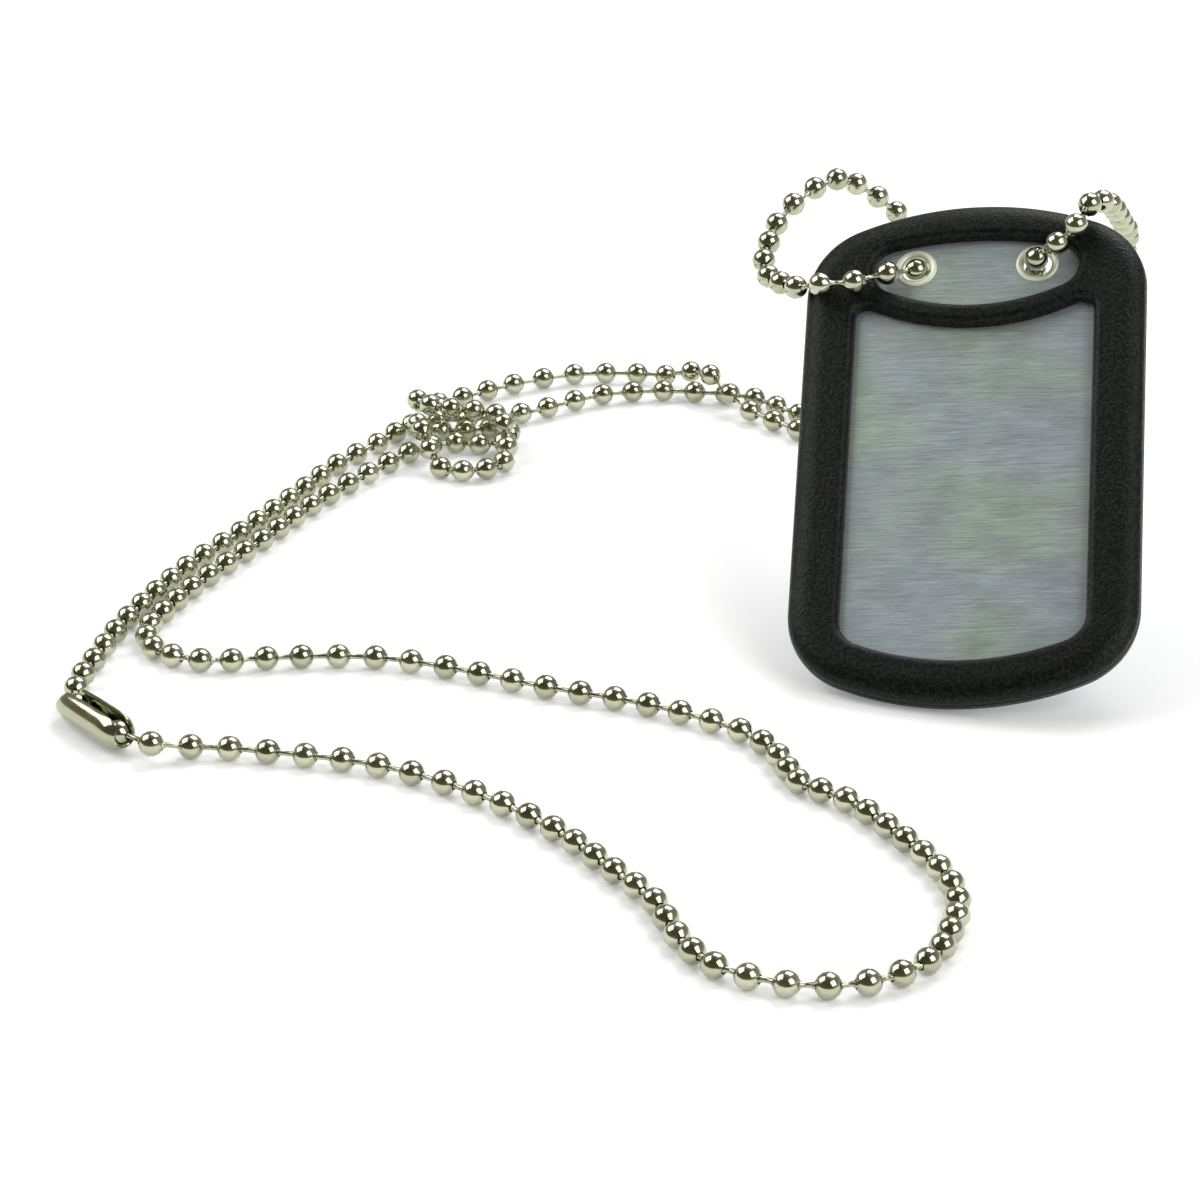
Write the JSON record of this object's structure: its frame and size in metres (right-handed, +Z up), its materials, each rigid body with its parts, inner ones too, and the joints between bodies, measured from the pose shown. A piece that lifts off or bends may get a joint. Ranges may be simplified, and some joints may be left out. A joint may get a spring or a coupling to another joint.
{
  "type": "identification dog tag",
  "caption": "Blank rounded metal plate in a black rubber frame, leaning above a table, threaded on a long loop of drilled-ball chain that a slotted clasp closes.",
  "frame": {"origin": "on the table, at the middle of the whole thing's box", "axes": "+Z up, +Y away from the viewer and along the longest extent, +X to the viewer's right"},
  "size_m": [0.1072, 0.1374, 0.0391],
  "materials": {
    "plate": "brushed across its length, with polished beads round the holes",
    "rubber": "fine grain with a soft sheen",
    "balls": "polished nickel plate, slightly warm",
    "wire": "polished nickel plate",
    "clasp": "polished nickel plate"
  },
  "bodies": {
    "root": {"tag_plate": "plate", "rubber_frame": "rubber", "chain_balls": "balls", "chain_wire": "wire", "chain_clasp": "clasp"}
  },
  "joints": []
}
